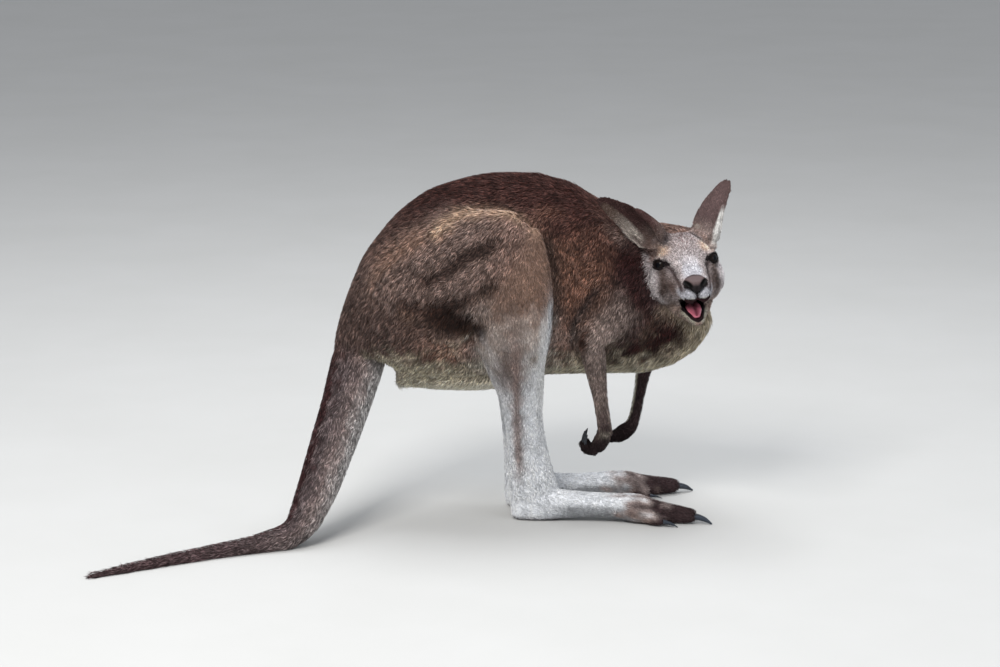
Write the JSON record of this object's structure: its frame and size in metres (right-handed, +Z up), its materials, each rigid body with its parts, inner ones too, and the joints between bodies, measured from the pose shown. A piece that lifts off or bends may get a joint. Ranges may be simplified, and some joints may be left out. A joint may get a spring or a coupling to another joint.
{
  "type": "kangaroo",
  "caption": "Life-size model of an adult female grey kangaroo crouched on her hind feet with the head turned to the right, mouth open and tail laid on the ground.",
  "frame": {"origin": "on the floor at the middle of the footprint of the whole model", "axes": "+X the way the body faces, +Y its left side, +Z up"},
  "size_m": [1.0922, 0.5216, 0.604],
  "materials": {
    "coat_dark": "short dense dark brown fur",
    "coat_mid": "short dense grey-brown fur",
    "coat_grey": "short dense grey fur",
    "coat_pale": "soft pale grey fur",
    "coat_black": "short brown-black fur",
    "horn": "dark horn, half polished",
    "eye": "wet dark brown eye",
    "tongue": "moist pink",
    "nose": "finely grained dark skin, half moist"
  },
  "bodies": {
    "root": {"head": "coat_grey", "lower_jaw": "coat_grey", "eye_left": "eye", "eye_right": "eye", "nose": "nose", "tongue": "tongue", "neck": "coat_mid", "trunk": "coat_dark", "ear_right": "coat_mid", "thigh_right": "coat_mid", "shank_right": "coat_grey", "foot_right": "coat_pale", "toes_right": "coat_black", "claw_fourth_right": "horn", "claw_fifth_right": "horn", "claw_second_right": "horn", "upper_arm_right": "coat_mid", "forearm_right": "coat_grey", "hand_right": "coat_black", "finger_claw_1_right": "horn", "finger_claw_2_right": "horn", "finger_claw_3_right": "horn", "finger_claw_4_right": "horn", "finger_claw_5_right": "horn", "ear_left": "coat_mid", "thigh_left": "coat_mid", "shank_left": "coat_grey", "foot_left": "coat_pale", "toes_left": "coat_black", "claw_fourth_left": "horn", "claw_fifth_left": "horn", "claw_second_left": "horn", "upper_arm_left": "coat_mid", "forearm_left": "coat_grey", "hand_left": "coat_black", "finger_claw_1_left": "horn", "finger_claw_2_left": "horn", "finger_claw_3_left": "horn", "finger_claw_4_left": "horn", "finger_claw_5_left": "horn", "pouch": "coat_pale", "tail_base": "coat_mid", "tail_middle": "coat_mid", "tail_tip": "coat_black"}
  },
  "joints": []
}
